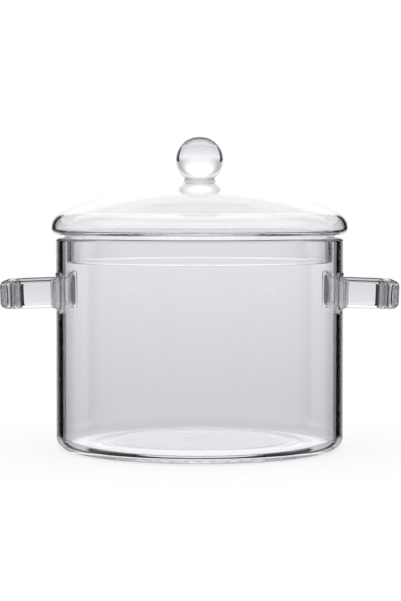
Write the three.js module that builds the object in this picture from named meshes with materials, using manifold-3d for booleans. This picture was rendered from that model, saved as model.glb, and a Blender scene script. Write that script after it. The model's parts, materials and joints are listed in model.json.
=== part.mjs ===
// Glass saucepan: a blown borosilicate pot with two strap handles fused to its wall, and a blown lid
// with a locating collar below and a solid ball knob on top. Millimetres, +Z up.
// The origin is the middle of the base, on the surface that the pot stands on.
import * as THREE from "three";
import { mergeVertices } from "three/addons/utils/BufferGeometryUtils.js";
import Module from "manifold-3d";

const wasm = await Module();
wasm.setup();

// Pot
const POT_OUTER_RADIUS = 75;
const POT_HEIGHT = 110;
const POT_WALL = 3.5;
const BASE_THICKNESS = 3.3;
const HEEL_RADIUS = 6.5; // outside, where the wall turns into the base
const INNER_HEEL_RADIUS = 4; // inside, where the wall turns into the floor
const STANDING_RING_WIDTH = 7; // the flat ring that the pot stands on
const PUNT_SLOPE_WIDTH = 17; // from the standing ring to the flat middle of the base
const PUNT_RISE = 1.2; // how far the middle of the base is pushed up

// Handles
const STRAP_HEIGHT = 14.6;
const STRAP_THICKNESS = 7;
const STRAP_CROWN = 0.4; // the flat left along the top and bottom of the strap
const HANDLE_REACH = 28.2; // beyond the side of the pot
const HANDLE_SPREAD = 40; // between the two limbs, centre to centre
const HANDLE_BEND_RADIUS = 8.5; // centre line
const HANDLE_DROP = 28.3; // centre line below the rim of the pot, at the wall
const HANDLE_DROOP = THREE.MathUtils.degToRad(2); // the loop hangs down a little as it leaves the wall
const WELD_RISE = 3.2; // how far the strap spreads up and down where it is fused to the wall
const WELD_SPREAD = 4.5; // how far it spreads to each side there
const WELD_LENGTH = 4.5; // the length over which it spreads
const WELD_GAP = 0.3;

// Lid
const LID_OVERHANG = 2.4; // beyond the outside of the pot
const LID_WALL = 2;
const DOME_RISE = 29; // top of the dome above the rim of the pot
const SHOULDER_RADIUS = 8.8; // outside, from the dome to the widest place
const EDGE_RADIUS = 3.6; // outside, from the widest place to the underside
const SHOULDER_LIFT = 1.6; // the underside of the shoulder above the rim of the pot
const FOLD_RADIUS = 3; // outside, from the underside to the collar
const COLLAR_CLEARANCE = 2.2; // between the collar and the inside of the pot
const COLLAR_DEPTH = 12.8; // below the rim of the pot

// Knob
const BALL_DIAMETER = 24.6;
const NECK_RADIUS = 7.8; // at the crease under the ball
const NECK_HEIGHT = 2; // the crease above the top of the dome
const FOOT_RADIUS = 10; // where the knob is fused to the dome
const FOOT_GAP = 0.3;

// Facets
const ROUND_SEGMENTS = 64; // around the pot and the lid
const KNOB_SEGMENTS = 32;
const EDGE_STEPS = 3; // round each rounded edge of the strap
const ARC_STEP = THREE.MathUtils.degToRad(22.5); // largest turn from one point of an arc to the next
const LONGEST_CHORD = 12; // between two points of a shallow arc
const CURVE_STEPS = 5; // along the slope of the punt and the curve of the neck
const STRAP_STEP = 1.3; // along the straight limbs of a handle, whose ends are flared

const QUARTER = Math.PI / 2;

// How many straight pieces a curve is split into.
function stepsOf(curve, lineStep) {
  if (curve.isLineCurve) return Math.max(1, Math.ceil(curve.getLength() / lineStep));
  if (!curve.isEllipseCurve) return CURVE_STEPS;
  const length = curve.getLength();
  return Math.ceil(Math.max(length / curve.xRadius / ARC_STEP, length / LONGEST_CHORD));
}

// Points and tangents along a path. Lines are split only where lineStep is given.
function stationsOf(path, lineStep = Infinity) {
  const first = path.curves[0];
  const stations = [{ point: first.getPoint(0), tangent: first.getTangent(0) }];
  for (const curve of path.curves) {
    const steps = stepsOf(curve, lineStep);
    for (let step = 1; step <= steps; step += 1) {
      stations.push({ point: curve.getPoint(step / steps), tangent: curve.getTangent(step / steps) });
    }
  }
  return stations;
}

// A profile of (radius, height) turned round the Z axis.
function revolve(profile, segments) {
  const points = stationsOf(profile).map((station) => station.point);
  return new THREE.LatheGeometry(points, segments).rotateX(QUARTER);
}

// A closed geometry as a solid for cutting.
function solidOf(geometry) {
  const bare = geometry.clone();
  bare.deleteAttribute("normal");
  bare.deleteAttribute("uv");
  const merged = mergeVertices(bare);
  return new wasm.Manifold(
    new wasm.Mesh({
      numProp: 3,
      vertProperties: new Float32Array(merged.attributes.position.array),
      triVerts: new Uint32Array(merged.index.array),
    }),
  );
}

// A cut solid as a geometry again.
function geometryOf(solid) {
  const { vertProperties, triVerts } = solid.getMesh();
  const geometry = new THREE.BufferGeometry();
  geometry.setAttribute("position", new THREE.BufferAttribute(vertProperties, 3));
  geometry.setIndex(new THREE.BufferAttribute(triVerts, 1));
  geometry.computeVertexNormals();
  return geometry;
}

// The pot in section: under the base, up the outside, over the fire-polished rim,
// down the inside and across the floor, which follows the push-up of the base.
function potProfile() {
  const innerRadius = POT_OUTER_RADIUS - POT_WALL;
  const ringOuter = POT_OUTER_RADIUS - HEEL_RADIUS;
  const puntOuter = ringOuter - STANDING_RING_WIDTH;
  const puntInner = puntOuter - PUNT_SLOPE_WIDTH;
  const slopeMiddle = (puntOuter + puntInner) / 2;
  const floor = BASE_THICKNESS + PUNT_RISE;
  const rimRadius = POT_WALL / 2;
  const floorEdge = innerRadius - INNER_HEEL_RADIUS;
  const profile = new THREE.Path();
  profile.moveTo(0, PUNT_RISE);
  profile.lineTo(puntInner, PUNT_RISE);
  profile.bezierCurveTo(slopeMiddle, PUNT_RISE, slopeMiddle, 0, puntOuter, 0);
  profile.absarc(ringOuter, HEEL_RADIUS, HEEL_RADIUS, -QUARTER, 0);
  profile.absarc(POT_OUTER_RADIUS - rimRadius, POT_HEIGHT - rimRadius, rimRadius, 0, Math.PI);
  profile.absarc(floorEdge, BASE_THICKNESS + INNER_HEEL_RADIUS, INNER_HEEL_RADIUS, 0, -QUARTER, true);
  profile.lineTo(puntOuter, BASE_THICKNESS);
  profile.bezierCurveTo(slopeMiddle, BASE_THICKNESS, slopeMiddle, floor, puntInner, floor);
  profile.lineTo(0, floor);
  return profile;
}

// The strap's section as (sideways, up) points: flat faces with round edges.
// The edges stay as round where the strap spreads.
function strapSection(thickness, height) {
  const radius = (STRAP_THICKNESS - STRAP_CROWN) / 2;
  const side = thickness / 2 - radius;
  const edge = height / 2 - radius;
  const points = [];
  for (const [sideways, up, start] of [
    [side, edge, 0],
    [-side, edge, QUARTER],
    [-side, -edge, 2 * QUARTER],
    [side, -edge, 3 * QUARTER],
  ]) {
    for (let step = 0; step <= EDGE_STEPS; step += 1) {
      const turn = start + (step / EDGE_STEPS) * QUARTER;
      points.push(new THREE.Vector2(sideways + radius * Math.cos(turn), up + radius * Math.sin(turn)));
    }
  }
  return points;
}

// A solid through one section after another, each standing across a path in the XY plane.
function loftGeometry(stations) {
  const sides = stations[0].section.length;
  const positions = [];
  const indices = [];
  for (const { point, tangent, section } of stations) {
    for (const { x: sideways, y: up } of section) {
      positions.push(point.x + tangent.y * sideways, point.y - tangent.x * sideways, up);
    }
  }
  for (let ring = 0; ring + 1 < stations.length; ring += 1) {
    for (let side = 0; side < sides; side += 1) {
      const next = (side + 1) % sides;
      const here = ring * sides;
      const there = here + sides;
      indices.push(here + side, there + next, here + next, here + side, there + side, there + next);
    }
  }
  const lastRing = (stations.length - 1) * sides;
  for (let side = 1; side + 1 < sides; side += 1) {
    indices.push(0, side, side + 1);
    indices.push(lastRing, lastRing + side + 1, lastRing + side);
  }
  const geometry = new THREE.BufferGeometry();
  geometry.setAttribute("position", new THREE.Float32BufferAttribute(positions, 3));
  geometry.setIndex(indices);
  return geometry;
}

// The handle on the +X side: a strap bent into a loop, turned to the wall and spread out where its ends are
// fused to it. Its ends run into the pot and are cut off just outside the wall.
function handleGeometry() {
  const limb = HANDLE_SPREAD / 2;
  const wall = Math.sqrt(POT_OUTER_RADIUS ** 2 - limb ** 2);
  const start = wall - STRAP_THICKNESS / 2 - WELD_SPREAD;
  const end = POT_OUTER_RADIUS + HANDLE_REACH - STRAP_THICKNESS / 2;
  const bendX = end - HANDLE_BEND_RADIUS;
  const bendY = limb - HANDLE_BEND_RADIUS;
  const path = new THREE.Path();
  path.moveTo(start, -limb);
  path.lineTo(bendX, -limb);
  path.absarc(bendX, -bendY, HANDLE_BEND_RADIUS, -QUARTER, 0);
  path.absarc(bendX, bendY, HANDLE_BEND_RADIUS, 0, QUARTER);
  path.lineTo(start, limb);
  const centre = new THREE.Vector2();
  const lean = Math.asin(limb / POT_OUTER_RADIUS); // how far the wall is turned from the limb that meets it
  const stations = stationsOf(path, STRAP_STEP).map(({ point, tangent }) => {
    const nearWall = THREE.MathUtils.clamp((wall + WELD_LENGTH - point.x) / WELD_LENGTH, 0, 1);
    const flare = 1 - Math.sqrt(1 - nearWall ** 2);
    const thickness = STRAP_THICKNESS + 2 * WELD_SPREAD * flare;
    const height = STRAP_HEIGHT + 2 * WELD_RISE * flare;
    tangent.rotateAround(centre, Math.sign(point.y) * lean * nearWall);
    return { point, tangent, section: strapSection(thickness, height) };
  });
  const strap = loftGeometry(stations)
    .translate(-wall, 0, 0)
    .rotateY(HANDLE_DROOP)
    .translate(wall, 0, POT_HEIGHT - HANDLE_DROP);
  const cutRadius = POT_OUTER_RADIUS + WELD_GAP;
  const body = new THREE.Path();
  body.moveTo(0, 0);
  body.lineTo(cutRadius, 0);
  body.lineTo(cutRadius, POT_HEIGHT);
  body.lineTo(0, POT_HEIGHT);
  return geometryOf(solidOf(strap).subtract(solidOf(revolve(body, ROUND_SEGMENTS))));
}

// The lid's dome is an arc that runs smoothly into the shoulder,
// and the shoulder turns in more tightly below its widest place.
const apex = POT_HEIGHT + DOME_RISE;
const lidEdge = POT_OUTER_RADIUS + LID_OVERHANG;
const underside = POT_HEIGHT + SHOULDER_LIFT;
const widestZ = underside + EDGE_RADIUS;
const shoulderX = lidEdge - SHOULDER_RADIUS;
const shoulderDrop = apex - widestZ;
const domeRadius =
  (shoulderX ** 2 + shoulderDrop ** 2 - SHOULDER_RADIUS ** 2) / (2 * (shoulderDrop - SHOULDER_RADIUS));
const domeZ = apex - domeRadius;

// The lid in section, one wall all round: out along the inside of the dome, round the hollow shoulder,
// down the inside of the collar, round its lip and back up the outside.
function lidProfile() {
  const collarRadius = POT_OUTER_RADIUS - POT_WALL - COLLAR_CLEARANCE;
  const foldX = collarRadius + FOLD_RADIUS;
  const foldZ = underside - FOLD_RADIUS;
  const edgeX = lidEdge - EDGE_RADIUS;
  const blend = Math.atan2(widestZ - domeZ, shoulderX);
  const lipRadius = LID_WALL / 2;
  const lipZ = POT_HEIGHT - COLLAR_DEPTH + lipRadius;
  const profile = new THREE.Path();
  profile.absarc(0, domeZ, domeRadius - LID_WALL, QUARTER, blend, true);
  profile.absarc(shoulderX, widestZ, SHOULDER_RADIUS - LID_WALL, blend, 0, true);
  profile.absarc(edgeX, widestZ, EDGE_RADIUS - LID_WALL, 0, -QUARTER, true);
  profile.absarc(foldX, foldZ, FOLD_RADIUS + LID_WALL, QUARTER, Math.PI);
  profile.absarc(collarRadius - lipRadius, lipZ, lipRadius, Math.PI, 2 * Math.PI);
  profile.absarc(foldX, foldZ, FOLD_RADIUS, Math.PI, QUARTER, true);
  profile.absarc(edgeX, widestZ, EDGE_RADIUS, -QUARTER, 0);
  profile.absarc(shoulderX, widestZ, SHOULDER_RADIUS, 0, blend);
  profile.absarc(0, domeZ, domeRadius, blend, QUARTER);
  return profile;
}

// The knob in section: its foot follows the dome, a short neck curves in to the crease,
// and the ball closes at the top.
function knobProfile() {
  const ballRadius = BALL_DIAMETER / 2;
  const crease = apex + NECK_HEIGHT;
  const ballZ = crease + Math.sqrt(ballRadius ** 2 - NECK_RADIUS ** 2);
  const footSphere = domeRadius + FOOT_GAP;
  const footZ = domeZ + Math.sqrt(footSphere ** 2 - FOOT_RADIUS ** 2);
  const profile = new THREE.Path();
  profile.absarc(0, domeZ, footSphere, QUARTER, Math.acos(FOOT_RADIUS / footSphere), true);
  profile.quadraticCurveTo(NECK_RADIUS, footZ, NECK_RADIUS, crease);
  profile.absarc(0, ballZ, ballRadius, Math.atan2(crease - ballZ, NECK_RADIUS), QUARTER);
  return profile;
}

function glass(color, opacity) {
  return new THREE.MeshStandardMaterial({ color, roughness: 0.03, metalness: 0, transparent: true, opacity });
}

function piece(name, geometry, material) {
  const mesh = new THREE.Mesh(geometry, material);
  mesh.name = name;
  return mesh;
}

const pot = new THREE.Group();
pot.add(piece("pot_body", revolve(potProfile(), ROUND_SEGMENTS), glass(0xdfe1e6, 0.3)));
for (const [name, turn] of [
  ["right_handle", 0],
  ["left_handle", Math.PI],
]) {
  const handle = piece(name, handleGeometry(), glass(0xe4e6ea, 0.4));
  handle.rotation.z = turn;
  pot.add(handle);
}

const lid = new THREE.Group();
lid.add(piece("lid_shell", revolve(lidProfile(), ROUND_SEGMENTS), glass(0xeff0f4, 0.25)));
lid.add(piece("lid_knob", revolve(knobProfile(), KNOB_SEGMENTS), glass(0xe8e9ec, 0.4)));

const saucepan = new THREE.Group();
saucepan.add(pot, lid);
export default saucepan;
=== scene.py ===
"""Looks of a glass saucepan: a blown pot with two strap handles, and a blown lid with a ball knob.

Each piece of glass is drawn in section and turned, or bent from a strap, and stands for its CAD node.
Metres, +Z up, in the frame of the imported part.
"""
import json
import math

import bpy
from bpy.props import FloatProperty, FloatVectorProperty, PointerProperty
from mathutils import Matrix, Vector

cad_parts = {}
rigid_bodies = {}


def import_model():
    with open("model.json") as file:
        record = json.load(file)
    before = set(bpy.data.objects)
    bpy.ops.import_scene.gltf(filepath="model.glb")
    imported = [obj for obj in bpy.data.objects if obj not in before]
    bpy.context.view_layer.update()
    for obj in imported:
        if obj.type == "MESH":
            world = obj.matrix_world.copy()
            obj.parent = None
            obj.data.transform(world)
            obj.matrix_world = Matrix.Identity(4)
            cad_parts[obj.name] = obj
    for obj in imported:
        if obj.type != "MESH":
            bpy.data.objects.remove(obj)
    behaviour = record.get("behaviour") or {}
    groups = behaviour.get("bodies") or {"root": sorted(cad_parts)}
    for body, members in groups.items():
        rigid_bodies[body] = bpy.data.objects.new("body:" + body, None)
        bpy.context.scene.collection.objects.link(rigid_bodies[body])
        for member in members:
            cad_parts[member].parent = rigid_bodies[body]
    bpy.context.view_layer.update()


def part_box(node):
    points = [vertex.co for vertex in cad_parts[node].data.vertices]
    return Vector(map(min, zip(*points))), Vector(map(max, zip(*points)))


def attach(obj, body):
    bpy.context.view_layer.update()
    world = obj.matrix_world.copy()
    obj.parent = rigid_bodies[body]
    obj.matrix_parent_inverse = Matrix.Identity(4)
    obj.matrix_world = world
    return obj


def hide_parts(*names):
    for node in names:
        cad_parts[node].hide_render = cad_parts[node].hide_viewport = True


bl_info = {
    "name": "Glass saucepan",
    "version": (1, 0, 0),
    "blender": (4, 5, 0),
    "location": "View3D > Sidebar > Saucepan",
    "description": "Models a lidded borosilicate saucepan on its packed frame",
    "category": "Add Mesh",
}

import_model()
POT_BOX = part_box("pot_body")

MM = 0.001
QUARTER = math.pi / 2  # of a turn
HALF = math.pi

# Facets, fine enough for the glass to bend light smoothly
ROUND_STEPS = 256  # round the pot and the lid
KNOB_STEPS = 128
ARC_STEP = math.radians(5)  # largest turn between two points of a section
LONGEST_CHORD = 3 * MM  # between two points of a shallow arc
HOLD = 0.3 * MM  # a ring this close to each end of a straight keeps its shading straight
STRAP_SIDES = 64
FLARE_STEPS = 12
CUT_STEPS = 256
SMOOTH_ANGLE = math.radians(40)
MERGE_DISTANCE = 0.001 * MM
SAME_PLACE = 1 * MM  # the middle of an end face lies this close to the strap's centre line

# Borosilicate glass
BOROSILICATE_IOR = 1.473
TINT_DENSITY = 10  # per metre, so that a wall takes up only a trace of grey
WAVE_DEPTH = 0.01 * MM
WAVE_ROUGHNESS = 0.4
RING_SPACING = 6 * MM  # between the marks that turning leaves
RING_ROUGHNESS = 0.5
SURFACE_DETAIL = 1  # one finer layer of waves and of rings
# Length of the waves, how they are drawn out along X, Y and Z, and depth of the rings
POT_SURFACE = {"waves": 30 * MM, "stretch": (1, 1, 3), "rings": 0.09 * MM}
STRAP_SURFACE = {"waves": 20 * MM, "stretch": (3, 3, 1), "rings": 0}
LID_SURFACE = {"waves": 40 * MM, "stretch": (1, 1, 1), "rings": 0.03 * MM}
BALL_SURFACE = {"waves": 12 * MM, "stretch": (1, 1, 1), "rings": 0}

# Camera, as in the photograph
CAMERA_PLACE = (0.45 * MM, -1040 * MM, 128 * MM)
CAMERA_DIP = math.radians(2.805)  # below level
LENS = 119.2  # millimetres, on the default 36 mm sensor
LIGHT_BOUNCES = 128  # light that runs along inside the wall of the lid is reflected dozens of times

WHITE = "#FFFFFF"

# The floor, which the camera sees
FLOOR_SIZE = 12
FLOOR_DROP = 0.3 * MM  # below the pot, so that no two faces share a plane
FLOOR_LIFT = 0.77  # what the camera sees on top of the light that falls on it, which makes it white

# A glowing disc below the pot, seen only by the glass: painted shadow, painted reflection, painted glow
PATCH_RADIUS = 68 * MM
PATCH_DROP = 0.25 * MM
PATCH_STEPS = 128
PATCH_EDGE = (42 * MM, 56 * MM)  # its painted glow gets brighter outwards between these radii
PATCH_PAINTED_GLOW_GAIN = 0.7
PATCH_SKIM = (0.78, 0.88)  # and does so only where it is turned away by more than these shares
# Share turned away, from 0 seen from above to 1 seen along the table, and tone: pale from above,
# then the pot's painted shadow, and at a slant a painted reflection of the white paper
TABLE_SPAN = (0, 1)
TABLE_SHADE_AND_REFLECTION_TONES = (
    (0.12, "#E8E8EA"),
    (0.17, "#0C0C0C"),
    (0.46, "#0C0C0C"),
    (0.53, "#FFFFFF"),
)

# The paper behind the saucepan, a glowing card: its corners, then height and tone, which is grey
# towards the table with painted shade
PAPER_CARD = ((-0.6, 0.35, -0.18), (0.6, 0.35, 0.4))
PAPER_SPAN = (-0.1, 0.15)
PAPER_TONES = (
    (-0.095, "#C9C9CE"),
    (-0.024, "#D5D5DA"),
    (0.081, "#EBEBF0"),
    (0.112, "#FAFAFC"),
    (0.15, "#FFFFFF"),
)
PAPER_SIDES = (0.03, 0.3)  # painted shade: it falls off to its sides between these distances from its middle
PAPER_TOP = (0.12, 0.17)  # but only in its upper part, which starts between these heights
PAPER_DIM = "#C4C4C8"  # and to this tone
PAINTED_POOL_HEIGHT = 0.28  # a painted pool of light, a soft glow on the middle of the paper
PAINTED_POOL_REACH = 0.12  # up and down from there
PAINTED_POOL_GAIN = 0.6

# Cards that stand round the saucepan: a grey room, and black flags that draw its dark edges.
# Each has its lowest and highest corner. A paired one is given for the right and mirrored for the left.
ROOM_TONE = "#8C8C90"
ROOM_SIDE = 1.5
ROOM_FRONT = -0.6
ROOM_BACK = 0.115
ROOM_LOW = -0.4
ROOM_TOP = 0.7
FLAG_INNER = 0.109
FLAG_OUTER = 0.3
FLAG_FOOT = -0.045
FLAG_TOP = 0.166
LOW_FLAG_OUTER = 0.145
LOW_FLAG_FOOT = -0.25
FAR_FLAG_INNER = 0.377
FAR_FLAG_OUTER = 0.72
FAR_FLAG_BACK = 1.56
FAR_FLAG_REACH = 0.6  # up and down
ROOM_CARD = ((-ROOM_SIDE, ROOM_FRONT, ROOM_LOW), (ROOM_SIDE, ROOM_FRONT, ROOM_TOP))
ROOM_PAIRS = {
    "{}_room": ((FLAG_OUTER, ROOM_BACK, ROOM_LOW), (ROOM_SIDE, ROOM_BACK, ROOM_TOP)),
    "{}_side": ((ROOM_SIDE, ROOM_FRONT, ROOM_LOW), (ROOM_SIDE, ROOM_BACK, ROOM_TOP)),
}
FLAG_PAIRS = {
    "{}_flag": ((FLAG_INNER, ROOM_BACK, FLAG_FOOT), (FLAG_OUTER, ROOM_BACK, FLAG_TOP)),
    "low_{}_flag": ((FLAG_INNER, ROOM_BACK, LOW_FLAG_FOOT), (LOW_FLAG_OUTER, ROOM_BACK, FLAG_FOOT)),
    "far_{}_flag": (
        (FAR_FLAG_INNER, FAR_FLAG_BACK, -FAR_FLAG_REACH),
        (FAR_FLAG_OUTER, FAR_FLAG_BACK, FAR_FLAG_REACH),
    ),
}

# The studio all round, as the glass sees it: height of a direction, from -1 straight down to 1 straight
# up, and tone. Its lower half is the table, with a dark band of painted shade where it is seen steeply.
SKY_SPAN = (-1, 1)
SKY_TONES = (
    (-0.92, "#E8E8EA"),
    # painted shade on the table, dark where it is seen steeply
    (-0.88, "#0A0A0A"),
    (-0.6, "#0A0A0A"),
    (-0.56, "#C6C6CB"),
    (-0.11, "#C8C8CD"),
    (-0.034, "#DDDDE2"),
    (-0.011, "#F1F1F4"),
    (0, "#FFFFFF"),
    (0.58, "#FFFFFF"),
    (0.66, "#E2E2E4"),
)

# A Mix node has sockets of the same name for each kind of data, so those for colour go by number.
MIX_SHARE = 0
MIX_FIRST = 6
MIX_SECOND = 7
MIX_RESULT = 2


def linear(code):
    """A linear colour from an sRGB hex value."""
    shares = [int(code[place : place + 2], 16) / 255 for place in (1, 3, 5)]
    return [s / 12.92 if s <= 0.04045 else ((s + 0.055) / 1.055) ** 2.4 for s in shares]


def length(name, description, millimetres):
    """A length that a user may change, given in millimetres."""
    return FloatProperty(
        name=name,
        description=description,
        default=millimetres * MM,
        unit="LENGTH",
        subtype="DISTANCE",
    )


def colour(name, description, code):
    """A colour that a user may change, given as an sRGB hex value."""
    return FloatVectorProperty(
        name=name,
        description=description,
        default=linear(code),
        size=3,
        min=0,
        max=1,
        subtype="COLOR",
    )


class SaucepanPot(bpy.types.PropertyGroup):
    """Sizes of the pot."""

    outer_radius: length("Outer radius", "Outside of the wall", POT_BOX[1].x / MM)
    height: length("Height", "Top of the rim above the table", POT_BOX[1].z / MM)
    wall: length("Wall", "Thickness of the wall", 3.5)
    base: length("Base", "Thickness of the base", 3.3)
    heel: length("Heel", "Outside radius where the wall turns into the base", 6.5)
    inner_heel: length("Inner heel", "Inside radius where the wall turns into the floor", 4)
    ring: length("Standing ring", "Width of the flat ring that the pot stands on", 7)
    slope: length("Punt slope", "Width of the slope from the ring to the middle of the base", 17)
    rise: length("Punt rise", "How far the middle of the base is pushed up", 1.2)


class SaucepanHandles(bpy.types.PropertyGroup):
    """Sizes of the two handles."""

    strap_height: length("Strap height", "Height of the strap", 14.6)
    strap_thickness: length("Strap thickness", "Thickness of the strap", 7)
    crown: length("Crown", "Flat along the top and bottom of the strap", 0.4)
    reach: length("Reach", "End of the loop beyond the side of the pot", 28.2)
    spread: length("Spread", "Between the two limbs, centre to centre", 40)
    bend: length("Bend radius", "Centre line of the bends", 8.5)
    drop: length("Drop", "Centre line below the rim, at the wall", 28.3)
    droop: FloatProperty(
        name="Droop",
        description="How far the loop hangs down as it leaves the wall",
        default=math.radians(2),
        subtype="ANGLE",
    )
    weld_rise: length("Weld rise", "How far the strap spreads up and down at the wall", 3.2)
    weld_spread: length("Weld spread", "How far the strap spreads to each side at the wall", 4.5)
    weld_length: length("Weld length", "Length over which the strap spreads", 4.5)
    weld_depth: length("Weld depth", "How far the ends are sunk into the wall", 0.6)


class SaucepanLid(bpy.types.PropertyGroup):
    """Sizes of the lid and its knob."""

    overhang: length("Overhang", "Edge of the lid beyond the outside of the pot", 2.4)
    wall: length("Wall", "Thickness of the lid", 2)
    dome_rise: length("Dome rise", "Top of the dome above the rim of the pot", 29)
    shoulder: length("Shoulder radius", "Outside, from the dome to the widest place", 8.8)
    edge: length("Edge radius", "Outside, from the widest place to the underside", 3.6)
    lift: length("Lift", "Underside of the shoulder above the rim of the pot", 1.6)
    fold: length("Fold radius", "Outside, from the underside to the collar", 3)
    clearance: length("Clearance", "Between the collar and the inside of the pot", 2.2)
    collar: length("Collar", "Depth of the collar below the rim of the pot", 12.8)
    ball: length("Ball diameter", "Diameter of the knob", 24.6)
    neck: length("Neck radius", "At the crease under the ball", 7.8)
    neck_height: length("Neck height", "The crease above the top of the dome", 2)
    foot: length("Foot radius", "Where the knob is fused to the dome", 10)
    foot_depth: length("Foot depth", "How far the knob is sunk into the dome", 0.4)


class SaucepanLook(bpy.types.PropertyGroup):
    """Colours of the glass and the stage."""

    glass: colour("Glass", "Light that the glass lets through", "#F4F5F8")
    floor: colour("Floor", "The table, before it is lifted to white for the camera", "#898989")
    flag: colour("Flags", "The black cards that draw the edges of the glass", "#080808")


class SaucepanSettings(bpy.types.PropertyGroup):
    """All that a user may change."""

    pot: PointerProperty(type=SaucepanPot)
    handles: PointerProperty(type=SaucepanHandles)
    lid: PointerProperty(type=SaucepanLid)
    look: PointerProperty(type=SaucepanLook)


def new_material(name):
    """A material whose nodes are still to be added."""
    material = bpy.data.materials.new(name)
    material.use_nodes = True
    material.node_tree.nodes.clear()
    return material


def add_node(tree, kind, inputs=None, **settings):
    """A node with its settings, and its sockets set to a value or linked from an output."""
    node = tree.nodes.new(kind)
    for name, value in settings.items():
        setattr(node, name, value)
    for socket, value in (inputs or {}).items():
        if isinstance(value, bpy.types.NodeSocket):
            tree.links.new(value, node.inputs[socket])
        else:
            node.inputs[socket].default_value = value
    return node


def fill_ramp(ramp, tones, span):
    """The stops of a colour ramp, from places within a span and the tones there."""
    low, high = span
    for index, (place, tone) in enumerate(tones):
        if index == len(ramp.elements):
            ramp.elements.new(1)
        ramp.elements[index].position = (place - low) / (high - low)
        ramp.elements[index].color = (*linear(tone), 1)


class Profile:
    """A section drawn in the XZ plane with one vertex as the pen, then turned round the Z axis."""

    def __init__(self, name, radius, height):
        bpy.ops.object.select_all(action="DESELECT")
        bpy.ops.mesh.primitive_plane_add(size=MM, enter_editmode=True)
        bpy.context.object.name = name
        bpy.ops.mesh.merge(type="CENTER")
        self.pen = Vector((radius, 0, height))
        bpy.ops.transform.translate(value=self.pen)

    def stroke(self, radius, height):
        """One straight edge."""
        end = Vector((radius, 0, height))
        bpy.ops.mesh.extrude_vertices_move(TRANSFORM_OT_translate={"value": end - self.pen})
        self.pen = end

    def line(self, radius, height):
        """A straight with a holding ring close to each end."""
        start = self.pen.copy()
        end = Vector((radius, 0, height))
        hold = (end - start).normalized() * HOLD
        for point in (start + hold, end - hold, end):
            self.stroke(point.x, point.z)

    def arc(self, radius, height, turn):
        """An arc about a centre, anticlockwise where turn is positive."""
        centre = Vector((radius, 0, height))
        arm = self.pen - centre
        steps = max(abs(turn) / ARC_STEP, abs(turn) * arm.length / LONGEST_CHORD)
        bpy.ops.mesh.spin(steps=math.ceil(steps), angle=turn, center=centre, axis=(0, 1, 0))
        angle = math.atan2(arm.z, arm.x) + turn
        self.pen = centre + arm.length * Vector((math.cos(angle), 0, math.sin(angle)))

    def turn(self, steps):
        """The section turned into a closed piece."""
        bpy.ops.mesh.select_all(action="SELECT")
        bpy.ops.mesh.spin(steps=steps, angle=math.tau, center=(0, 0, 0), axis=(0, 0, 1))
        return closed_piece()


def closed_piece():
    """The mesh in edit mode as a finished piece: merged, facing out, closed and smooth."""
    bpy.ops.mesh.select_all(action="SELECT")
    bpy.ops.mesh.remove_doubles(threshold=MERGE_DISTANCE)
    bpy.ops.mesh.normals_make_consistent(inside=False)
    bpy.ops.mesh.select_all(action="DESELECT")
    bpy.ops.mesh.select_mode(type="VERT")
    bpy.ops.mesh.select_non_manifold()
    bpy.ops.object.mode_set(mode="OBJECT")
    piece = bpy.context.object
    open_points = sum(vertex.select for vertex in piece.data.vertices)
    if open_points:
        raise RuntimeError(f"{piece.name} isn't closed at {open_points} points")
    bpy.ops.object.shade_smooth_by_angle(angle=SMOOTH_ANGLE)
    return piece


def stand_for(piece, node, body, material):
    """The piece takes a node's place, rides on its body and wears a finish."""
    piece.data.materials.clear()
    piece.data.materials.append(material)
    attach(piece, body)
    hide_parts(node)


def glass(name, tint, waves, stretch, rings):
    """Clear borosilicate glass, fire-polished, with slow waves and the rings that turning it left.

    It has no colour of its own. The eye gets what lies behind it, squeezed into dark lines at its edges
    and a trace greyer where it is thick, and the waves and rings make that swim a little.
    """
    material = new_material(name)
    tree = material.node_tree
    place = add_node(tree, "ShaderNodeTexCoord")
    drawn_out = add_node(
        tree,
        "ShaderNodeMapping",
        {"Vector": place.outputs["Object"], "Scale": stretch},
        vector_type="TEXTURE",
    )
    wave = add_node(
        tree,
        "ShaderNodeTexNoise",
        {
            "Vector": drawn_out.outputs["Vector"],
            "Scale": 1 / waves,
            "Detail": SURFACE_DETAIL,
            "Roughness": WAVE_ROUGHNESS,
        },
    )
    waved = add_node(
        tree,
        "ShaderNodeBump",
        {"Height": wave.outputs["Fac"], "Strength": 1, "Distance": WAVE_DEPTH},
    )
    # The rings go by the distance from the upright axis that the glass was turned on.
    level = add_node(
        tree,
        "ShaderNodeVectorMath",
        {0: place.outputs["Object"], 1: (1, 1, 0)},
        operation="MULTIPLY",
    )
    radius = add_node(tree, "ShaderNodeVectorMath", {0: level.outputs["Vector"]}, operation="LENGTH")
    ring = add_node(
        tree,
        "ShaderNodeTexNoise",
        {
            "W": radius.outputs["Value"],
            "Scale": 1 / RING_SPACING,
            "Detail": SURFACE_DETAIL,
            "Roughness": RING_ROUGHNESS,
        },
        noise_dimensions="1D",
    )
    turned = add_node(
        tree,
        "ShaderNodeBump",
        {
            "Height": ring.outputs["Fac"],
            "Strength": 1,
            "Distance": rings,
            "Normal": waved.outputs["Normal"],
        },
    )
    surface = add_node(
        tree,
        "ShaderNodeBsdfPrincipled",
        {
            "Base Color": (*linear(WHITE), 1),
            "Roughness": 0,
            "IOR": BOROSILICATE_IOR,
            "Transmission Weight": 1,
            "Normal": turned.outputs["Normal"],
        },
    )
    inside = add_node(
        tree,
        "ShaderNodeVolumeAbsorption",
        {"Color": (*tint, 1), "Density": TINT_DENSITY},
    )
    add_node(
        tree,
        "ShaderNodeOutputMaterial",
        {"Surface": surface.outputs["BSDF"], "Volume": inside.outputs["Volume"]},
    )
    return material


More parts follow.
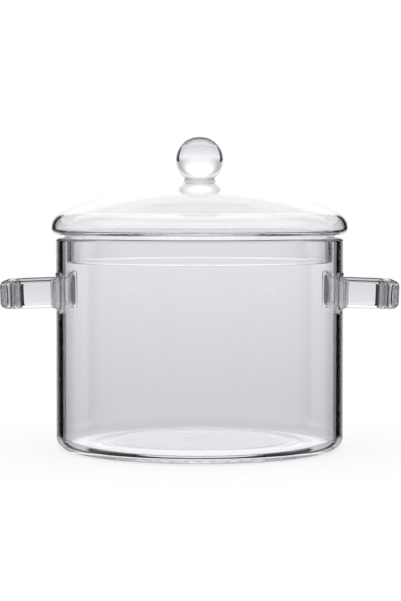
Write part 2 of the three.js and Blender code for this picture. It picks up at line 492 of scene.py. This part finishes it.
class SAUCEPAN_OT_pot(bpy.types.Operator):
    """The blown pot: base with a punt, straight wall and fire-polished rim"""

    bl_idname = "saucepan.add_pot"
    bl_label = "Add pot"

    def execute(self, context):
        settings = context.scene.saucepan
        size = settings.pot
        inner = size.outer_radius - size.wall
        ring_outer = size.outer_radius - size.heel
        punt_outer = ring_outer - size.ring
        punt_inner = punt_outer - size.slope
        rim = size.wall / 2
        floor = size.base + size.rise
        # The slope of the punt is two arcs that meet halfway.
        bow = (size.slope**2 / 4 + size.rise**2 / 4) / size.rise
        lean = math.asin(size.slope / 2 / bow)
        section = Profile("pot_glass", 0, size.rise)
        section.line(punt_inner, size.rise)
        section.arc(punt_inner, size.rise - bow, -lean)
        section.arc(punt_outer, bow, lean)
        section.line(ring_outer, 0)
        section.arc(ring_outer, size.heel, QUARTER)
        section.line(size.outer_radius, size.height - rim)
        section.arc(size.outer_radius - rim, size.height - rim, HALF)
        section.line(inner, size.base + size.inner_heel)
        section.arc(inner - size.inner_heel, size.base + size.inner_heel, -QUARTER)
        section.line(punt_outer, size.base)
        section.arc(punt_outer, size.base + bow, -lean)
        section.arc(punt_inner, floor - bow, lean)
        section.line(0, floor)
        pot = section.turn(ROUND_STEPS)
        # Blown and turned: waves drawn out up the wall, and rings that show in the base
        finish = glass("blown borosilicate glass", settings.look.glass, **POT_SURFACE)
        stand_for(pot, "pot_body", "pot", finish)
        return {"FINISHED"}


class SAUCEPAN_OT_handles(bpy.types.Operator):
    """The two loops of glass strap, spread out where they are fused to the wall"""

    bl_idname = "saucepan.add_handles"
    bl_label = "Add handles"

    def execute(self, context):
        settings = context.scene.saucepan
        right = self.bent_strap(settings.pot, settings.handles)
        self.cut_to_wall(right, settings.pot, settings.handles)
        left = self.turned_copy(right)
        # Drawn by hand and not turned: waves along the strap, and no rings
        finish = glass("drawn borosilicate strap", settings.look.glass, **STRAP_SURFACE)
        stand_for(right, "right_handle", "pot", finish)
        stand_for(left, "left_handle", "pot", finish)
        return {"FINISHED"}

    def bent_strap(self, pot, size):
        """A strap drawn out from its section, bent twice and spread at both ends."""
        limb = size.spread / 2
        wall = math.sqrt(pot.outer_radius**2 - limb**2)
        neck = wall + size.weld_length
        end = pot.outer_radius + size.reach - size.strap_thickness / 2
        bend_x = end - size.bend
        bend_y = limb - size.bend
        height = pot.height - size.drop
        lean = math.asin(limb / pot.outer_radius)
        rounding = (size.strap_thickness - size.crown) / 2
        bpy.ops.object.select_all(action="DESELECT")
        bpy.ops.mesh.primitive_circle_add(
            vertices=STRAP_SIDES, radius=rounding, fill_type="NGON", enter_editmode=True
        )
        bpy.context.object.name = "right_handle_glass"
        # The circle stands up facing along X, and none of its points lie on an axis.
        bpy.ops.transform.rotate(value=HALF / STRAP_SIDES, orient_axis="Z", center_override=(0, 0, 0))
        bpy.ops.transform.rotate(value=QUARTER, orient_axis="Y", center_override=(0, 0, 0))
        self.pull_apart((0, 0, 0), (0, 1, 0), size.crown / 2)
        self.pull_apart((0, 0, 0), (0, 0, 1), size.strap_height / 2 - rounding)
        bpy.ops.transform.translate(value=(neck, -limb, height))
        self.draw((bend_x - neck, 0, 0))
        bends = math.ceil(QUARTER / ARC_STEP)
        centre = (bend_x, -bend_y, height)
        bpy.ops.mesh.spin(steps=bends, angle=-QUARTER, center=centre, axis=(0, 0, 1))
        self.draw((0, 2 * bend_y, 0))
        centre = (bend_x, bend_y, height)
        bpy.ops.mesh.spin(steps=bends, angle=-QUARTER, center=centre, axis=(0, 0, 1))
        self.draw((neck - bend_x, 0, 0))
        self.flare(size, (neck, limb, height), lean)
        self.select_end(neck, -limb)
        self.flare(size, (neck, -limb, height), -lean)
        bpy.ops.mesh.select_all(action="SELECT")
        bpy.ops.transform.rotate(value=-size.droop, orient_axis="Y", center_override=(wall, 0, height))
        return closed_piece()

    def pull_apart(self, centre, axis, reach):
        """The two halves of the selected ring of points moved apart along an axis."""
        way = Vector(axis)
        mesh = bpy.context.object.data
        bpy.ops.mesh.select_mode(type="VERT")
        bpy.ops.object.mode_set(mode="OBJECT")
        ring = [vertex.index for vertex in mesh.vertices if vertex.select]
        for side in (1, -1):
            bpy.ops.object.mode_set(mode="EDIT")
            bpy.ops.mesh.select_all(action="DESELECT")
            bpy.ops.object.mode_set(mode="OBJECT")
            for index in ring:
                vertex = mesh.vertices[index]
                vertex.select = (vertex.co - Vector(centre)).dot(way) * side > 0
            bpy.ops.object.mode_set(mode="EDIT")
            bpy.ops.transform.translate(value=way * reach * side)
        bpy.ops.object.mode_set(mode="OBJECT")
        for index in ring:
            mesh.vertices[index].select = True
        bpy.ops.object.mode_set(mode="EDIT")

    def draw(self, step):
        """The end face drawn out, with a holding ring close to each end."""
        way = Vector(step)
        hold = way.normalized() * HOLD
        for part in (hold, way - 2 * hold, hold):
            bpy.ops.mesh.extrude_region_move(TRANSFORM_OT_translate={"value": part})

    def select_end(self, x, y):
        """The face across the strap at a place, and nothing else."""
        bpy.ops.mesh.select_mode(type="FACE")
        bpy.ops.mesh.select_all(action="DESELECT")
        bpy.ops.object.mode_set(mode="OBJECT")
        for face in bpy.context.object.data.polygons:
            away = math.hypot(face.center.x - x, face.center.y - y)
            face.select = away < SAME_PLACE and len(face.vertices) == STRAP_SIDES
        bpy.ops.object.mode_set(mode="EDIT")

    def flare(self, size, centre, lean):
        """The end face drawn to the wall, turned and spread as it goes, then on into the wall."""
        middle = Vector(centre)
        step = Vector((-size.weld_length / FLARE_STEPS, 0, 0))
        spread = 0
        for count in range(1, FLARE_STEPS + 1):
            near = count / FLARE_STEPS
            # The spread follows a quarter of a circle, slowly at first.
            more = 1 - math.sqrt(1 - near**2) - spread
            spread += more
            middle += step
            bpy.ops.mesh.extrude_region_move(TRANSFORM_OT_translate={"value": step})
            bpy.ops.transform.rotate(value=-lean / FLARE_STEPS, orient_axis="Z", center_override=middle)
            across = (-math.sin(lean * near), math.cos(lean * near), 0)
            self.pull_apart(middle, across, size.weld_spread * more)
            self.pull_apart(middle, (0, 0, 1), size.weld_rise * more)
        bpy.ops.mesh.extrude_region_move(TRANSFORM_OT_translate={"value": (-size.strap_thickness, 0, 0)})

    def cut_to_wall(self, handle, pot, size):
        """The ends cut off just inside the outside of the wall, so that the glass runs on into it."""
        bpy.ops.object.select_all(action="DESELECT")
        bpy.ops.mesh.primitive_cylinder_add(
            vertices=CUT_STEPS,
            radius=pot.outer_radius - size.weld_depth,
            depth=pot.height,
            location=(0, 0, pot.height / 2),
        )
        cutter = bpy.context.object
        bpy.context.view_layer.objects.active = handle
        bpy.ops.object.modifier_add(type="BOOLEAN")
        cut = handle.modifiers[-1]
        cut.operation = "DIFFERENCE"
        cut.solver = "EXACT"
        cut.object = cutter
        bpy.ops.object.modifier_apply(modifier=cut.name)
        bpy.data.objects.remove(cutter)
        bpy.ops.object.select_all(action="DESELECT")
        handle.select_set(True)
        bpy.ops.object.mode_set(mode="EDIT")
        closed_piece()

    def turned_copy(self, right):
        """The handle on the other side, with its own mesh."""
        bpy.ops.object.select_all(action="DESELECT")
        right.select_set(True)
        bpy.context.view_layer.objects.active = right
        bpy.ops.object.duplicate()
        left = bpy.context.object
        left.name = "left_handle_glass"
        bpy.ops.object.mode_set(mode="EDIT")
        bpy.ops.mesh.select_all(action="SELECT")
        bpy.ops.transform.rotate(value=HALF, orient_axis="Z", center_override=(0, 0, 0))
        bpy.ops.object.mode_set(mode="OBJECT")
        return left


def lid_form(pot, size):
    """The dome's arc, which runs smoothly into the shoulder, and the shoulder's widest place."""
    apex = pot.height + size.dome_rise
    underside = pot.height + size.lift
    widest_z = underside + size.edge
    shoulder_x = pot.outer_radius + size.overhang - size.shoulder
    drop = apex - widest_z
    radius = (shoulder_x**2 + drop**2 - size.shoulder**2) / (2 * (drop - size.shoulder))
    return {
        "apex": apex,
        "underside": underside,
        "widest_z": widest_z,
        "shoulder_x": shoulder_x,
        "radius": radius,
        "centre": apex - radius,
    }


class SAUCEPAN_OT_lid(bpy.types.Operator):
    """The blown lid: one wall that runs from the dome round a hollow shoulder into the collar"""

    bl_idname = "saucepan.add_lid"
    bl_label = "Add lid"

    def execute(self, context):
        settings = context.scene.saucepan
        pot = settings.pot
        size = settings.lid
        form = lid_form(pot, size)
        centre = form["centre"]
        shoulder_x = form["shoulder_x"]
        widest_z = form["widest_z"]
        underside = form["underside"]
        blend = math.atan2(widest_z - centre, shoulder_x)
        edge_x = pot.outer_radius + size.overhang - size.edge
        collar = pot.outer_radius - pot.wall - size.clearance
        fold_x = collar + size.fold
        fold_z = underside - size.fold
        lip = size.wall / 2
        lip_z = pot.height - size.collar + lip
        section = Profile("lid_glass", 0, form["apex"] - size.wall)
        section.arc(0, centre, blend - QUARTER)
        section.arc(shoulder_x, widest_z, -blend)
        section.arc(edge_x, widest_z, -QUARTER)
        section.line(fold_x, underside + size.wall)
        section.arc(fold_x, fold_z, QUARTER)
        section.line(collar - size.wall, lip_z)
        section.arc(collar - lip, lip_z, HALF)
        section.line(collar, fold_z)
        section.arc(fold_x, fold_z, -QUARTER)
        section.line(edge_x, underside)
        section.arc(edge_x, widest_z, QUARTER)
        section.arc(shoulder_x, widest_z, blend)
        section.arc(0, centre, QUARTER - blend)
        lid = section.turn(ROUND_STEPS)
        # Blown thin and turned: long waves and fainter rings, so that the dome looks calmer than the pot
        finish = glass("blown borosilicate dome", settings.look.glass, **LID_SURFACE)
        stand_for(lid, "lid_shell", "lid", finish)
        return {"FINISHED"}


class SAUCEPAN_OT_knob(bpy.types.Operator):
    """The solid ball with a short neck, fused to the top of the dome"""

    bl_idname = "saucepan.add_knob"
    bl_label = "Add knob"

    def execute(self, context):
        settings = context.scene.saucepan
        size = settings.lid
        form = lid_form(settings.pot, size)
        ball = size.ball / 2
        crease = form["apex"] + size.neck_height
        ball_z = crease + math.sqrt(ball**2 - size.neck**2)
        sunk = form["radius"] - size.foot_depth
        foot_z = form["centre"] + math.sqrt(form["radius"] ** 2 - size.foot**2)
        fillet = size.foot - size.neck
        section = Profile("knob_glass", 0, form["centre"] + sunk)
        section.arc(0, form["centre"], -math.asin(size.foot / sunk))
        section.stroke(size.foot, foot_z)
        section.arc(size.foot, foot_z + fillet, -QUARTER)
        section.line(size.neck, crease)
        start = math.atan2(crease - ball_z, size.neck)
        section.arc(0, ball_z, QUARTER - start)
        knob = section.turn(KNOB_STEPS)
        # Gathered hot into a ball and not turned: short waves, and no rings
        finish = glass("gathered borosilicate ball", settings.look.glass, **BALL_SURFACE)
        stand_for(knob, "lid_knob", "lid", finish)
        return {"FINISHED"}


class SAUCEPAN_OT_stage(bpy.types.Operator):
    """Camera, floor, backdrop, flags and studio light"""

    bl_idname = "saucepan.add_stage"
    bl_label = "Add stage"

    def execute(self, context):
        look = context.scene.saucepan.look
        context.scene.view_settings.view_transform = "Standard"
        context.scene.cycles.max_bounces = LIGHT_BOUNCES
        context.scene.cycles.transmission_bounces = LIGHT_BOUNCES
        context.scene.cycles.glossy_bounces = LIGHT_BOUNCES
        camera = self.camera(context)
        self.floor(look.floor)
        self.painted_table_shade_and_glow()
        self.backdrop(camera)
        self.room(camera)
        self.flags(camera, look.flag)
        self.studio(context)
        return {"FINISHED"}

    def camera(self, context):
        """The photograph's view: a long lens from a little above the lid."""
        bpy.ops.object.select_all(action="DESELECT")
        bpy.ops.object.camera_add(location=CAMERA_PLACE, rotation=(QUARTER - CAMERA_DIP, 0, 0))
        camera = context.object
        camera.data.lens = LENS
        context.scene.camera = camera
        return camera

    def floor(self, tone):
        """A matt white table: even white with no gloss, and the glass only shades it a little."""
        bpy.ops.object.select_all(action="DESELECT")
        bpy.ops.mesh.primitive_plane_add(size=FLOOR_SIZE, location=(0, 0, -FLOOR_DROP))
        floor = bpy.context.object
        floor.name = "floor"
        floor.visible_transmission = False
        floor.visible_glossy = False
        material = new_material("matt white table")
        tree = material.node_tree
        ray = add_node(tree, "ShaderNodeLightPath")
        matt = add_node(tree, "ShaderNodeBsdfDiffuse", {"Color": (*tone, 1)})
        lift = add_node(
            tree,
            "ShaderNodeMath",
            {0: ray.outputs["Is Camera Ray"], 1: FLOOR_LIFT},
            operation="MULTIPLY",
        )
        glow = add_node(
            tree,
            "ShaderNodeEmission",
            {"Color": (*linear(WHITE), 1), "Strength": lift.outputs["Value"]},
        )
        both = add_node(tree, "ShaderNodeAddShader", {0: matt.outputs["BSDF"], 1: glow.outputs["Emission"]})
        add_node(tree, "ShaderNodeOutputMaterial", {"Surface": both.outputs["Shader"]})
        floor.data.materials.append(material)

    def only_for_glass(self, thing):
        """Stage that the camera doesn't see and that casts no light or shade on the floor."""
        thing.visible_camera = False
        thing.visible_diffuse = False
        thing.visible_shadow = False

    def painted_table_shade_and_glow(self):
        """The table through the base: pale from straight above, then dark with the pot's painted shadow,
        and white at a slant with a painted reflection of the paper.
        """
        bpy.ops.object.select_all(action="DESELECT")
        bpy.ops.mesh.primitive_circle_add(
            vertices=PATCH_STEPS, radius=PATCH_RADIUS, fill_type="NGON", location=(0, 0, -PATCH_DROP)
        )
        patch = bpy.context.object
        patch.name = "painted_table_shade_and_glow"
        material = new_material("painted shade and glow on the table")
        tree = material.node_tree
        slant = add_node(tree, "ShaderNodeLayerWeight")
        # Painted shadow and painted reflection, by how steeply the glass looks at the table
        shade = add_node(tree, "ShaderNodeValToRGB", {"Fac": slant.outputs["Facing"]})
        fill_ramp(shade.color_ramp, TABLE_SHADE_AND_REFLECTION_TONES, TABLE_SPAN)
        # A painted glow, brighter towards the standing ring where the table is seen at a slant
        place = add_node(tree, "ShaderNodeTexCoord")
        radius = add_node(tree, "ShaderNodeVectorMath", {0: place.outputs["Object"]}, operation="LENGTH")
        edge = add_node(
            tree,
            "ShaderNodeMapRange",
            {
                "Value": radius.outputs["Value"],
                "From Min": PATCH_EDGE[0],
                "From Max": PATCH_EDGE[1],
                "To Max": PATCH_PAINTED_GLOW_GAIN,
            },
            interpolation_type="SMOOTHSTEP",
        )
        skim = add_node(
            tree,
            "ShaderNodeMapRange",
            {"Value": slant.outputs["Facing"], "From Min": PATCH_SKIM[0], "From Max": PATCH_SKIM[1]},
        )
        power = add_node(
            tree,
            "ShaderNodeMath",
            {0: edge.outputs["Result"], 1: skim.outputs["Result"], 2: 1},
            operation="MULTIPLY_ADD",
        )
        glow = add_node(
            tree,
            "ShaderNodeEmission",
            {"Color": shade.outputs["Color"], "Strength": power.outputs["Value"]},
        )
        add_node(tree, "ShaderNodeOutputMaterial", {"Surface": glow.outputs["Emission"]})
        patch.data.materials.append(material)
        self.only_for_glass(patch)

    def card(self, name, camera, corners, material):
        """An upright card between two corners, which goes with the camera and only the glass sees."""
        low, high = corners
        bpy.ops.object.select_all(action="DESELECT")
        bpy.ops.mesh.primitive_plane_add(size=1, enter_editmode=True)
        card = bpy.context.object
        card.name = name
        across = "Y" if low[0] == high[0] else "X"
        bpy.ops.transform.rotate(value=-QUARTER, orient_axis=across, center_override=(0, 0, 0))
        # The card is flat along one axis, along which it isn't resized.
        reach = [b - a or 1 for a, b in zip(low, high)]
        bpy.ops.transform.resize(value=reach, center_override=(0, 0, 0))
        bpy.ops.transform.translate(value=[(a + b) / 2 for a, b in zip(low, high)])
        bpy.ops.object.mode_set(mode="OBJECT")
        card.data.materials.append(material)
        self.only_for_glass(card)
        camera.select_set(True)
        bpy.context.view_layer.objects.active = camera
        bpy.ops.object.parent_set(type="OBJECT", keep_transform=True)

    def card_pairs(self, camera, pairs, material):
        """Each card on the left, mirrored, and on the right."""
        for name, (low, high) in pairs.items():
            mirrored = ((-high[0], *low[1:]), (-low[0], *high[1:]))
            self.card(name.format("left"), camera, mirrored, material)
            self.card(name.format("right"), camera, (low, high), material)

    def one_sided(self, tree, front):
        """The material's surface is the shader on the front of a card and nothing on its back."""
        side = add_node(tree, "ShaderNodeNewGeometry")
        clear = add_node(tree, "ShaderNodeBsdfTransparent")
        both = add_node(
            tree,
            "ShaderNodeMixShader",
            {0: side.outputs["Backfacing"], 1: front.outputs["Emission"], 2: clear.outputs["BSDF"]},
        )
        add_node(tree, "ShaderNodeOutputMaterial", {"Surface": both.outputs["Shader"]})

    def backdrop(self, camera):
        """White paper: an even glow through the glass, grey with painted shade towards the table,
        and brightest high up with a painted pool of light.
        """
        material = new_material("white paper")
        tree = material.node_tree
        place = add_node(tree, "ShaderNodeTexCoord")
        axes = add_node(tree, "ShaderNodeSeparateXYZ", {"Vector": place.outputs["Object"]})
        height = add_node(
            tree,
            "ShaderNodeMapRange",
            {"Value": axes.outputs["Z"], "From Min": PAPER_SPAN[0], "From Max": PAPER_SPAN[1]},
        )
        shade = add_node(tree, "ShaderNodeValToRGB", {"Fac": height.outputs["Result"]})
        fill_ramp(shade.color_ramp, PAPER_TONES, PAPER_SPAN)
        # Painted shade: the upper part falls off to its sides.
        aside = add_node(tree, "ShaderNodeMath", {0: axes.outputs["X"]}, operation="ABSOLUTE")
        far = add_node(
            tree,
            "ShaderNodeMapRange",
            {"Value": aside.outputs["Value"], "From Min": PAPER_SIDES[0], "From Max": PAPER_SIDES[1]},
            interpolation_type="SMOOTHSTEP",
        )
        high = add_node(
            tree,
            "ShaderNodeMapRange",
            {"Value": axes.outputs["Z"], "From Min": PAPER_TOP[0], "From Max": PAPER_TOP[1]},
        )
        dim = add_node(
            tree,
            "ShaderNodeMath",
            {0: far.outputs["Result"], 1: high.outputs["Result"]},
            operation="MULTIPLY",
        )
        faded = add_node(
            tree,
            "ShaderNodeMix",
            {
                MIX_SHARE: dim.outputs["Value"],
                MIX_FIRST: shade.outputs["Color"],
                MIX_SECOND: (*linear(PAPER_DIM), 1),
            },
            data_type="RGBA",
        )
        # The painted pool of light fades to the sides, and up and down from its height.
        near = add_node(
            tree,
            "ShaderNodeMapRange",
            {
                "Value": aside.outputs["Value"],
                "From Min": PAPER_SIDES[0],
                "From Max": PAPER_SIDES[1],
                "To Min": PAINTED_POOL_GAIN,
                "To Max": 0,
            },
            interpolation_type="SMOOTHSTEP",
        )
        above = add_node(
            tree,
            "ShaderNodeMath",
            {0: axes.outputs["Z"], 1: PAINTED_POOL_HEIGHT},
            operation="SUBTRACT",
        )
        away = add_node(tree, "ShaderNodeMath", {0: above.outputs["Value"]}, operation="ABSOLUTE")
        painted_pool = add_node(
            tree,
            "ShaderNodeMapRange",
            {"Value": away.outputs["Value"], "From Max": PAINTED_POOL_REACH, "To Min": 1, "To Max": 0},
            interpolation_type="SMOOTHSTEP",
        )
        power = add_node(
            tree,
            "ShaderNodeMath",
            {0: near.outputs["Result"], 1: painted_pool.outputs["Result"], 2: 1},
            operation="MULTIPLY_ADD",
        )
        paper = add_node(
            tree,
            "ShaderNodeEmission",
            {"Color": faded.outputs[MIX_RESULT], "Strength": power.outputs["Value"]},
        )
        self.one_sided(tree, paper)
        self.card("backdrop", camera, PAPER_CARD, material)

    def room(self, camera):
        """The dim room in front and at the sides: soft greys in the reflections."""
        material = new_material("dark room")
        tree = material.node_tree
        dark = add_node(tree, "ShaderNodeEmission", {"Color": (*linear(ROOM_TONE), 1)})
        add_node(tree, "ShaderNodeOutputMaterial", {"Surface": dark.outputs["Emission"]})
        self.card("room", camera, ROOM_CARD, material)
        self.card_pairs(camera, ROOM_PAIRS, material)

    def flags(self, camera, tone):
        """Black card: the dark lines down the sides of the pot and in the edges of the handles."""
        material = new_material("black card")
        tree = material.node_tree
        black = add_node(tree, "ShaderNodeEmission", {"Color": (*tone, 1)})
        self.one_sided(tree, black)
        self.card_pairs(camera, FLAG_PAIRS, material)

    def studio(self, context):
        """The world: plain white to the camera and the floor, and the studio's tones to the glass."""
        world = bpy.data.worlds.new("studio")
        context.scene.world = world
        world.use_nodes = True
        tree = world.node_tree
        tree.nodes.clear()
        place = add_node(tree, "ShaderNodeTexCoord")
        axes = add_node(tree, "ShaderNodeSeparateXYZ", {"Vector": place.outputs["Generated"]})
        height = add_node(
            tree,
            "ShaderNodeMapRange",
            {"Value": axes.outputs["Z"], "From Min": SKY_SPAN[0], "From Max": SKY_SPAN[1]},
        )
        shade = add_node(tree, "ShaderNodeValToRGB", {"Fac": height.outputs["Result"]})
        fill_ramp(shade.color_ramp, SKY_TONES, SKY_SPAN)
        ray = add_node(tree, "ShaderNodeLightPath")
        plain = add_node(
            tree,
            "ShaderNodeMath",
            {0: ray.outputs["Is Camera Ray"], 1: ray.outputs["Is Diffuse Ray"]},
            operation="MAXIMUM",
        )
        seen = add_node(
            tree,
            "ShaderNodeMix",
            {
                MIX_SHARE: plain.outputs["Value"],
                MIX_FIRST: shade.outputs["Color"],
                MIX_SECOND: (*linear(WHITE), 1),
            },
            data_type="RGBA",
        )
        sky = add_node(tree, "ShaderNodeBackground", {"Color": seen.outputs[MIX_RESULT]})
        add_node(tree, "ShaderNodeOutputWorld", {"Surface": sky.outputs["Background"]})


class SAUCEPAN_PT_panel(bpy.types.Panel):
    """Lists the pieces of the saucepan in the sidebar"""

    bl_idname = "SAUCEPAN_PT_panel"
    bl_label = "Glass saucepan"
    bl_space_type = "VIEW_3D"
    bl_region_type = "UI"
    bl_category = "Saucepan"

    def draw(self, context):
        settings = context.scene.saucepan
        for group in (settings.pot, settings.handles, settings.lid, settings.look):
            box = self.layout.box()
            for name in group.__annotations__:
                box.prop(group, name)
        for operator in OPERATORS:
            self.layout.operator(operator.bl_idname)


OPERATORS = (
    SAUCEPAN_OT_stage,
    SAUCEPAN_OT_pot,
    SAUCEPAN_OT_handles,
    SAUCEPAN_OT_lid,
    SAUCEPAN_OT_knob,
)
CLASSES = (
    SaucepanPot,
    SaucepanHandles,
    SaucepanLid,
    SaucepanLook,
    SaucepanSettings,
    *OPERATORS,
    SAUCEPAN_PT_panel,
)


def register():
    """Adds the classes and the settings to Blender."""
    for item in CLASSES:
        bpy.utils.register_class(item)
    bpy.types.Scene.saucepan = PointerProperty(type=SaucepanSettings)


def unregister():
    """Takes the settings and the classes out again."""
    del bpy.types.Scene.saucepan
    for item in reversed(CLASSES):
        bpy.utils.unregister_class(item)


def main():
    """Makes the stage and the pieces."""
    register()
    bpy.ops.saucepan.add_stage()
    bpy.ops.saucepan.add_pot()
    bpy.ops.saucepan.add_handles()
    bpy.ops.saucepan.add_lid()
    bpy.ops.saucepan.add_knob()


if __name__ == "__main__":
    main()
